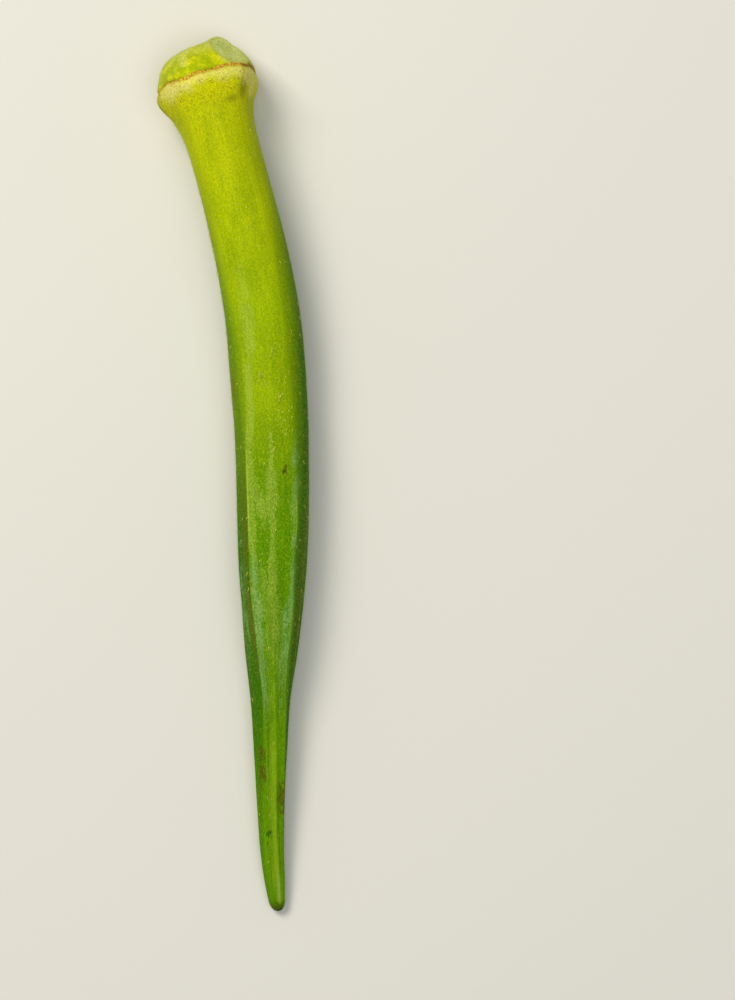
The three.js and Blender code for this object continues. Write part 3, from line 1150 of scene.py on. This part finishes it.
@dataclass(frozen=True)
class CorkFinish:
    """The scar's cork: orange-brown where it is fresh, olive or dark brown where it has aged."""

    light: Tint = (226, 190, 58)
    dark: Tint = (172, 122, 22)
    aged: Tint = (138, 112, 20)
    roughness: float = 0.75
    specular: float = 0.2
    bump: Row = (0.8, 0.1 * MM)

    def build(self) -> Material:
        """Builds the material.

        Returns:
            A node material that reads the bead's own place and age.
        """
        graph = PaintGraph("scar_cork")
        grain = graph.noise(graph.spot(), 2.4, 3.0, 0.65)
        colour = graph.mix(graph.step(grain, 0.42, 0.6), linear(self.dark), linear(self.light))
        aged = graph.ragged(graph.number("age"), grain, 2.0, 0.3, 0.9, 0.9)
        colour = graph.tinted(colour, (aged, self.aged))
        return graph.end(colour, self.roughness, self.specular, (grain, *self.bump))


@dataclass(frozen=True)
class HairFinish:
    """The hairs: each a little paler or greener than the next."""

    name: str = "pale_hair"
    pale: Tint = (202, 214, 100)
    green: Tint = (150, 184, 46)
    roughness: float = 0.7
    specular: float = 0.05

    def build(self) -> Material:
        """Builds the material.

        Returns:
            A node material that reads each hair's shade.
        """
        graph = PaintGraph(self.name)
        colour = graph.mix(graph.number("shade"), linear(self.green), linear(self.pale))
        return graph.end(colour, self.roughness, self.specular)


@dataclass(frozen=True)
class PlainFinish:
    """A finish of one colour, for the floor."""

    name: str
    tint: Tint
    roughness: float = 0.8
    specular: float = 0.2

    def build(self) -> Material:
        """Builds the material and returns it."""
        return PaintGraph(self.name).end(linear(self.tint), self.roughness, self.specular)


@dataclass
class RibbedPod:
    """The pod's own body: collar, neck, ribbed seed chambers and tip.

    The girth and the lip under it are rows of a distance and a radius. The pale crests' rows have a strength
    for each rib. The flank shades' rows have, for each side, where the painted shade (a deeper green laid
    down the flank) starts and is full, in degrees from the top, and its strength, which falls off over the
    angles of the underside. The swells have a height, distance, half length, angle in radians and half width.
    """

    axis: PodAxis
    relief: ShapeTree
    coat: ShapeTree
    finish: SkinFinish = SkinFinish()
    hair: HairFinish = HairFinish()
    bristle: HairFinish = HairFinish("bristle", pale=(244, 246, 116), green=(222, 230, 76))
    girth: Table = Table((
        (0, 10.75), (1.2, 11.05), (2.4, 10.95), (4.0, 10.25), (5.6, 9.4), (7.5, 8.7), (10.0, 8.15),
        (13.0, 7.85), (18.0, 7.75), (24.0, 7.75), (35.0, 7.95), (46.0, 8.15), (56.7, 8.3), (67.5, 8.35),
        (79.6, 8.15), (94.0, 7.85), (107.0, 7.35), (116.0, 6.7), (127.0, 5.55), (138.0, 4.2), (149.0, 3.5),
        (160.0, 2.95), (171.0, 2.52), (177.5, 2.18), (181.2, 1.86), (182.0, 1.74),
    ))
    lip: tuple[Row, ...] = (
        (0.5, 8.4), (0.4, 9.5), (0.22, 10.1), (0.12, 10.42), (0.16, 10.62), (0.3, 10.76),
    )
    first_row: float = 0.55
    row_step: float = 0.47
    tip_start: float = 182.0
    tip_radius: float = 1.74
    tip_gap: float = 0.08
    tip_rows: int = 13
    columns: int = 200
    pale_crests: Table = Table((
        (77, 0, 0, 0, 0, 0), (82, 0, 0.3, 0.2, 0.3, 0.7), (85, 0, 0.5, 0.3, 0.4, 1.2),
        (92, 0.1, 0.8, 0.6, 0.6, 1.2), (95, 1, 0.8, 0.8, 0.9, 1.0), (101, 1, 0.8, 0.8, 0.9, 0.6),
        (104, 0.3, 0.8, 0.8, 0.9, 0.35), (112, 0.25, 0.9, 0.7, 0.8, 0.3), (124, 0.2, 0.9, 0.8, 0.8, 0.3),
        (131, 0.1, 0.8, 0.8, 0.7, 0.3), (137, 0.1, 0.7, 0.8, 0.6, 0.2), (144, 0.1, 0.5, 0.6, 0.5, 0.1),
        (165, 0.2, 0.4, 0.4, 0.4, 0.1), (169, 0.5, 0.4, 0.4, 0.4, 0.2), (174, 0.8, 0.5, 0.4, 0.5, 0.2),
        (181, 0.8, 0.4, 0.3, 0.4, 0.2), (184, 0, 0, 0, 0, 0),
    ))
    # Painted shade down each flank, as a deeper green: where it starts and is full, and its strength.
    flank_shades: Table = Table((
        (0, -60, -90, 0, 60, 100, 0), (14, -60, -90, 0, 60, 100, 0), (40, -46, -80, 0.5, 26, 80, 0.8),
        (60, -34, -64, 0.7, 20, 70, 1), (66, -30, -56, 0.58, 20, 68, 1), (72, -31, -56, 0.64, 20, 66, 1),
        (80, -38, -52, 0.65, 22, 66, 1), (86, -41, -49, 0.6, 30, 64, 1), (92, -41, -46, 0.75, 38, 62, 1),
        (102, -38.5, -42.5, 1, 40, 58, 0.96), (111, -35.5, -39.5, 1.1, 41, 57, 0.95),
        (116, -33.5, -37.5, 1, 44, 58, 0.95), (120, -31.5, -36, 0.85, 44, 58, 0.95),
        (129, -26.5, -31, 1, 46, 62, 0.9), (139, -22.5, -29, 1, 52, 70, 0.9),
        (146, -26, -40, 0.85, 52, 72, 0.85), (152, -24, -40, 0.8, 52, 72, 0.8),
        (160, -30, -60, 0.45, 52, 74, 0.85), (175, -40, -80, 0.3, 50, 72, 0.9),
        (185, -60, -90, 0.4, 60, 90, 0.9),
    ))
    underside: tuple[Row, Row] = ((100, 150), (1, 0.6))
    least_bristles: float = 0.015
    swells: tuple[Row, ...] = ((-0.14, 167.4, 0.9, -0.33, 0.35), (0.28, 101, 18, -1.4, 0.5))
    marks: Markings = POD_MARKS

    def grid(self) -> SkinGrid:
        """Lays out the pod's round skin, from under its lip to its tip.

        Returns:
            The grid, before the ribs are raised on it.
        """
        start, reach = self.tip_start, self.axis.pod_length - self.tip_start
        body = np.arange(self.first_row, start, self.row_step)
        close = start + reach * np.sin(np.linspace(self.tip_gap, 1.0, self.tip_rows) * math.pi / 2)[:-1]
        tip = self.tip_radius * np.sqrt(1 - ((close - start) / reach) ** 2)
        lip_along, lip_radius = np.array(self.lip).T
        along = np.concatenate([lip_along, body, close])
        radius = np.concatenate([lip_radius, self.girth.smooth(1, body), tip])
        share = SkinGrid.turns(self.columns) / FIFTH
        rib, part = share.astype(int), share - share.astype(int)
        strays = np.stack([RIB_STRAYS.smooth(1 + k, along) for k in range(RIBS)], axis=1)
        stray = strays[:, rib] * (1 - part) + strays[:, (rib + 1) % RIBS] * part
        angle = np.radians(RIB_TURNS.smooth(1, along)[:, None] + stray) + SkinGrid.turns(self.columns)
        centre, forward, up, out = self.axis.frame(along)
        outward = spokes(angle, up[:, None], out[:, None])
        places = centre[:, None] + outward * radius[:, None, None]
        places -= scar_shift(angle, along)[..., None] * forward[:, None]
        wide = np.ones_like(angle)
        ahead = np.broadcast_to(forward[:, None], outward.shape)
        return SkinGrid(places, outward, ahead, along[:, None] * wide, angle, radius[:, None] * wide, side=1)

    def skin(self) -> Mesh:
        """Builds the pod's round skin with its marks, a swelling on one side and a dent near the tip.

        Returns:
            The mesh that the ribs are raised on.
        """
        grid = self.grid()
        along, turned = grid.along, wrapped(grid.angle)
        swell = np.zeros_like(along)
        for height, middle, length, turn, width in self.swells:
            swell += height * np.exp(-(((along - middle) / length) ** 2) - ((turned - turn) / width) ** 2)
        nearest = np.round(SkinGrid.turns(self.columns) / FIFTH).astype(int) % RIBS
        crests = np.stack([self.pale_crests.straight(1 + k, along[:, 0]) for k in range(RIBS)], axis=1)
        extras = {
            **grid.marked(self.marks),
            "swell": swell,
            "crest": crests[:, nearest],
            "flank_shade": self.flank_shade(along, np.degrees(turned)),
            "fuzz": grid.fuzz(),
        }
        for column, label in enumerate(("sides", "soft", "seam", "hollow"), 1):
            extras[label] = RIB_HEIGHTS.straight(column, along)
        bristles = np.maximum(extras[Mark.STROKES.value], self.least_bristles)
        extras[Mark.STROKES.value] = bristles * extras["fuzz"]
        return grid.mesh("pod_skin", extras)

    def flank_shade(self, along: Array, degrees: Array) -> Array:
        """Works out where shade is painted as a deeper green: down each flank, between two angles.

        Args:
            along: The points' distances from the scar ring, in millimetres.
            degrees: Their angles from the top.

        Returns:
            The cover, from 0 to 1.
        """
        covers = []
        for first in (1, 4):
            start, end, most = (self.flank_shades.straight(first + k, along) for k in range(3))
            covers.append(most * np.clip((degrees - start) / (end - start), 0, 1))
        return np.maximum(*covers) * np.interp(np.abs(degrees), *self.underside)

    def build(self) -> None:
        """Builds the skin, its fine hairs and its stiffer bristles."""
        skin = self.relief.run(self.skin(), "pod_skin", self.finish.build())
        take(skin, replaces="pod")
        fine = {"Hairs_per_square_mm": 2.2, "Seed": 11}
        take(self.coat.run(skin.data.copy(), "pod_hairs", self.hair.build(), **fine))
        rough = skin.data.copy()
        rough.attributes.remove(rough.attributes["fuzz"])
        rough.attributes[Mark.STROKES.value].name = "fuzz"
        sizes = {"Hairs_per_square_mm": 1.5, "Hair_length": 1.0, "Hair_radius": 0.1}
        stiff = {**sizes, "Lean": 5.0, "Disorder": 1.6, "Seed": 17}
        take(self.coat.run(rough, "pod_bristles", self.bristle.build(), **stiff))


@dataclass
class StemCap:
    """The swollen end of the flower stalk: a five-sided dome with a stub, a knife cut, and the scar.

    The girth's rows are a distance towards the stem, a radius and a lean towards +X. The cork's rows are an
    angle in degrees from the top, the bead's thickness there and its age.
    """

    axis: PodAxis
    relief: ShapeTree
    coat: ShapeTree
    bead: ShapeTree
    finish: CapFinish = CapFinish()
    cork_finish: CorkFinish = CorkFinish()
    hair: HairFinish = HairFinish()
    girth: Table = Table((
        (-0.1, 8.4, 0.3), (0.0, 9.5, 0.3), (0.1, 10.05, 0.3), (0.2, 10.35, 0.3), (0.3, 10.5, 0.3),
        (0.9, 10.68, 0.3), (1.7, 10.55, 0.3), (3.1, 10.05, 0.3), (4.9, 9.2, 0.25), (6.2, 8.22, 0.25),
        (7.15, 7.28, 0.4), (7.8, 6.35, 0.9), (8.4, 5.45, 2.0), (8.65, 4.6, 3.2), (8.85, 3.7, 4.2),
        (9.3, 2.85, 5.05), (9.8, 1.87, 5.7), (9.95, 0.9, 6.25),
    ))
    lips: int = 4
    fine_rows: int = 560
    nod: float = 0.0244
    strays: Row = (0.0, -8.7, 0.0, 0.0, 0.0)
    cut_point: Row = (0.50, 93.83, 9.24)
    cut_facing: Row = (0.436, 0.8387, 0.3265)
    cut_hollow: float = 0.22
    cut_rise: float = 3.0
    cut_calm: float = 0.5
    cut_reach: float = 4.0
    lip_reach: float = 9.0
    face_fill: float = 0.97
    face_crowding: float = 0.9
    edge_width: float = 0.35
    verge_width: float = 1.7
    girth_fall: float = 0.4
    least_girth: float = 2.0
    columns: int = 240
    skin_rows: int = 70
    cut_rows: int = 36
    blunt_rows: int = 4
    blunt_passes: int = 2
    bead_radius: float = 10.5
    bead_lean: float = 0.15
    bead_points: int = 480
    cork: Table = Table((
        (-150, 0.8, 0.4), (-100, 0.6, 0.3), (-62, 0.45, 0.1), (-35, 0.65, 0.0), (-24, 1.5, 0.05),
        (-8, 1.4, 0.1), (-2, 0.6, 0.2), (5, 0.5, 0.2), (8, 0.2, 0.0), (12, 0.25, 0.0), (16, 1.3, 0.1),
        (30, 1.5, 0.1), (48, 1.5, 0.2), (53, 1.2, 1.0), (58, 1.2, 0.6), (75, 1.4, 0.7), (100, 0.9, 0.6),
        (140, 0.7, 0.4), (180, 0.9, 0.5),
    ))
    marks: Markings = CAP_MARKS

    def corners(self, turn: Array) -> tuple[Array, Array]:
        """Works out where each column lies, and how far the five-sided section stands out there.

        Args:
            turn: Turns from the first corner, in radians.

        Returns:
            The angles from the top towards +X, in radians, and the five-sided share of the radius.
        """
        stray = np.interp(turn / FIFTH, np.arange(RIBS + 1), [*self.strays, self.strays[0]])
        from_face = np.mod(turn, FIFTH) - FIFTH / 2
        return turn + np.radians(CAP_TURN + stray), math.cos(FIFTH / 2) / np.cos(from_face) - PENTAGON_MEAN

    def dome(self, where: Array, turn: Array) -> tuple[Array, Array, Array]:
        """Works out the whole dome, before the knife cut.

        Args:
            where: Places along the girth's rows, where row number n lies at n.
            turn: Turns from the first corner, in radians.

        Returns:
            The places for each row and column, the rows' distances and the columns' angles.
        """
        along, radius, lean = curve_through(np.array(self.girth.rows), where).T
        ring, forward, up, out = (row[0] for row in self.axis.frame(np.zeros(1)))
        upper = unit(up + forward * (self.nod * along)[:, None])
        angle, five_sided = self.corners(turn)
        sides, soft = (RIB_HEIGHTS.straight(k, -along)[:, None] for k in (1, 2))
        reach = radius[:, None] * (1 + sides * five_sided + soft * np.cos(RIBS * turn))
        middle = ring - forward * along[:, None] + out * lean[:, None]
        places = middle[:, None] + reach[..., None] * spokes(angle, upper[:, None], out)
        return places - scar_shift(angle, along)[..., None] * forward, along, angle

    def uncut(self, places: Array, fine: Array, facing: Array) -> tuple[Array, Array]:
        """Lays even rows up each column, from the lip to the knife cut.

        Args:
            places: The whole dome's places, for each fine row and column.
            fine: The fine rows' distances.
            facing: The way that the cut faces.

        Returns:
            Four numbers for each even row and column, its place and its distance, and the columns' lengths.
        """
        beyond = (places - np.array(self.cut_point)) @ facing
        known = np.concatenate([places, np.broadcast_to(fine[:, None, None], (*beyond.shape, 1))], axis=-1)
        laid = np.zeros((self.skin_rows, self.columns, 4))
        lengths = np.zeros(self.columns)
        for column in range(self.columns):
            row = int(np.append(np.nonzero(beyond[:, column] > 0)[0], len(fine) - 1)[0])
            near, far = beyond[row - 1, column], beyond[row, column]
            share = np.clip(-near / (far - near), 0, 1)
            rim = known[row - 1, column] * (1 - share) + known[row, column] * share
            path = np.vstack([known[self.lips : row, column], rim])
            steps = np.linalg.norm(np.diff(path[:, :3], axis=0), axis=1)
            length = np.concatenate([[0], np.cumsum(steps)])
            lengths[column] = length[-1]
            even = np.linspace(0, length[-1], self.skin_rows)
            laid[:, column] = np.stack([np.interp(even, length, numbers) for numbers in path.T], axis=1)
        return laid, lengths

    def grid(self) -> tuple[SkinGrid, dict[str, Array]]:
        """Lays out the cap's skin up to the knife cut, then the cut's face in to its middle.

        Returns:
            The grid, and for each row and column how far it is cut, set in and by the edge.
        """
        lips, last = self.lips, self.lips + self.skin_rows
        where = np.append(np.arange(lips), np.linspace(lips, len(self.girth.rows) - 1, self.fine_rows))
        places, fine, angle = self.dome(where, SkinGrid.turns(self.columns))
        facing = unit(np.array(self.cut_facing))
        laid, reach = self.uncut(places, fine, facing)
        skin, along = laid[..., :3], laid[..., 3]
        rim, middle = skin[-1], skin[-1].mean(axis=0)
        inset = np.linspace(0, self.face_fill, self.cut_rows + 1)[1:] ** self.face_crowding
        face = rim[None] * (1 - inset)[:, None, None] + middle * inset[:, None, None]
        face -= facing * (self.cut_hollow * np.sin(inset * math.pi / 2) ** 2)[:, None, None]
        stacked = np.concatenate([places[:lips], skin, face])
        band = stacked[last - self.blunt_rows : last + self.blunt_rows]
        for _ in range(self.blunt_passes):
            band[1:-1] = 0.25 * band[:-2] + 0.5 * band[1:-1] + 0.25 * band[2:]
        wide = np.ones(stacked.shape[:2])
        beyond = along[-1] + self.cut_rise * inset[:, None]
        level = np.concatenate([fine[:lips, None] * wide[:lips], along, beyond])
        across = np.roll(stacked, -1, axis=1) - np.roll(stacked, 1, axis=1)
        outward = np.cross(across, np.gradient(stacked, axis=0))
        outward /= np.linalg.norm(outward, axis=-1, keepdims=True) + 1e-9
        outward *= np.sign(np.sum(outward[last // 2] * (stacked[last // 2] - middle)))
        down = np.broadcast_to(-self.axis.frame(np.zeros(1))[1], stacked.shape)
        to_rim = reach * (1 - np.linspace(0, 1, self.skin_rows))[:, None]
        to_cut = self.cut_reach * inset[:, None] * wide[:1]
        to_rim = np.concatenate([self.lip_reach * wide[:lips], to_rim, to_cut])
        cut = np.clip((np.arange(len(wide)) - last + 1) / 2, 0, 1)[:, None] * wide
        extras = {
            "cut": cut,
            "inset": np.concatenate([np.zeros(last), inset])[:, None] * wide,
            "edge": np.exp(-((to_rim / self.edge_width) ** 2)),
            "verge": np.exp(-((to_rim / self.verge_width) ** 2)),
        }
        outward = outward * (1 - self.cut_calm * cut)[..., None]
        girth = np.maximum(self.bead_radius - self.girth_fall * level, self.least_girth)
        angles = np.broadcast_to(angle, wide.shape)
        return SkinGrid(stacked, outward, down, level, angles, girth, side=-1), extras

    def skin(self) -> Mesh:
        """Builds the cap's skin and cut face with their marks.

        Returns:
            The mesh that the lumps and grain are raised on.
        """
        grid, extras = self.grid()
        extras |= grid.marked(self.marks)
        extras["fuzz"] = grid.fuzz() * (1 - extras["cut"])
        for label in ("swell", "sides", "soft", "seam", "hollow"):
            extras[label] = np.zeros_like(grid.along)
        return grid.mesh("cap_skin", extras)

    def scar(self) -> Mesh:
        """Builds the loop that the scar's bead follows.

        Returns:
            A closed loop of edges between the pod's collar and the cap.
        """
        count = self.bead_points
        turn = SkinGrid.turns(count)
        angle, five_sided = self.corners(turn)
        centre, forward, up, out = self.axis.frame(np.zeros(1))
        sides, soft = (RIB_HEIGHTS.straight(k, np.zeros(1)) for k in (1, 2))
        reach = self.bead_radius * (1 + sides * five_sided + soft * np.cos(RIBS * turn))
        places = centre + self.bead_lean * out + reach[:, None] * spokes(angle, up, out)
        places -= scar_shift(angle, np.zeros(1)).T * forward
        mesh = bpy.data.meshes.new("scar_ring")
        mesh.from_pydata(places * MM, [(i, (i + 1) % count) for i in range(count)], [])
        for column, label in ((1, "thick"), (2, "age")):
            SkinGrid.store(mesh, label, self.cork.straight(column, np.degrees(wrapped(angle)), period=360))
        return mesh

    def build(self) -> None:
        """Builds the cap, its hairs and the scar ring."""
        lumps = {"Crest_height": 0.0, "Lump_height": 0.35, "Lump_size": 4.0, "Grain": 0.05}
        cap = self.relief.run(self.skin(), "cap_skin", self.finish.build(), **lumps)
        take(cap, replaces="stem_cap")
        fine = {"Hairs_per_square_mm": 4.0, "Hair_length": 0.35, "Seed": 29}
        take(self.coat.run(cap.data.copy(), "cap_hairs", self.hair.build(), **fine))
        take(self.bead.run(self.scar(), "scar_ring", self.cork_finish.build()))


def take(piece: Piece, replaces: str | None = None) -> None:
    """Gives a finished piece to the frame and reports it.

    Args:
        piece: The piece, at the origin.
        replaces: The CAD node that it stands for, if any.
    """
    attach(piece, "root")
    if replaces:
        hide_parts(replaces)
    mesh = piece.data
    mesh.calc_loop_triangles()
    LOG.info("%s: %d points, %d triangles", piece.name, len(mesh.vertices), len(mesh.loop_triangles))


@dataclass
class Studio:
    """A plain pale floor, soft light from the upper left, and the camera straight overhead, in metres."""

    frame_height: float = 0.22
    view_height: float = 1.4
    focus_height: float = 0.01
    centre: tuple[float, float] = (0.02954, -0.00562)
    sensor_width: float = 36.0
    clip: tuple[float, float] = (0.05, 20.0)
    floor_half: float = 3.0
    floor_tint: Tint = (226, 224, 214)
    world_tint: Tint = (236, 240, 246)
    world_light: float = 0.28

    def floor(self) -> None:
        """Lays the floor."""
        mesh = bpy.data.meshes.new("floor")
        half = self.floor_half
        corners = [(-half, -half, 0), (half, -half, 0), (half, half, 0), (-half, half, 0)]
        mesh.from_pydata(corners, [], [(0, 1, 2, 3)])
        mesh.materials.append(PlainFinish("floor", self.floor_tint).build())
        shown("floor", mesh)

    def lamp(self, name: str, place: Row, size: float, power: float, tint: Tint = (255, 255, 255)) -> None:
        """Hangs a soft lamp that faces the pod.

        Args:
            name: The lamp's name.
            place: Where it hangs, in metres.
            size: Its side.
            power: Its power in watts.
            tint: Its colour.
        """
        light = bpy.data.lights.new(name, "AREA")
        light.size, light.energy, light.color = size, power, linear(tint)[:3]
        lamp = shown(name, light)
        lamp.location = place
        lamp.rotation_mode = "QUATERNION"
        lamp.rotation_quaternion = (-Vector(place)).to_track_quat("-Z", "Y")

    def camera(self) -> None:
        """Sets the camera over the pod, looking straight down."""
        data = bpy.data.cameras.new("camera")
        data.sensor_width = self.sensor_width
        data.lens = self.sensor_width * (self.view_height - self.focus_height) / self.frame_height
        data.clip_start, data.clip_end = self.clip
        camera = shown("camera", data)
        camera.location = (*self.centre, self.view_height)
        bpy.context.scene.camera = camera

    def build(self) -> None:
        """Builds the studio."""
        scene = bpy.context.scene
        world = bpy.data.worlds.new("studio")
        world.use_nodes = True
        glow = world.node_tree.nodes["Background"].inputs
        glow["Color"].default_value = linear(self.world_tint)
        glow["Strength"].default_value = self.world_light
        scene.world = world
        scene.view_settings.view_transform = "Standard"
        self.floor()
        self.lamp("key", (-0.46, 0.52, 0.9), size=0.5, power=9.0, tint=(255, 250, 240))
        self.lamp("top", (0.2, -0.15, 1.3), size=0.9, power=5.5)
        self.camera()


def main() -> None:
    """Loads the frame, builds the pod, its cap and the studio."""
    logging.basicConfig(level=logging.INFO, format="%(name)s: %(message)s")
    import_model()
    axis, relief, coat = PodAxis(), rib_relief(), hair_coat()
    Studio().build()
    RibbedPod(axis, relief, coat).build()
    StemCap(axis, relief, coat, cork_bead()).build()


if __name__ == "__main__":
    main()
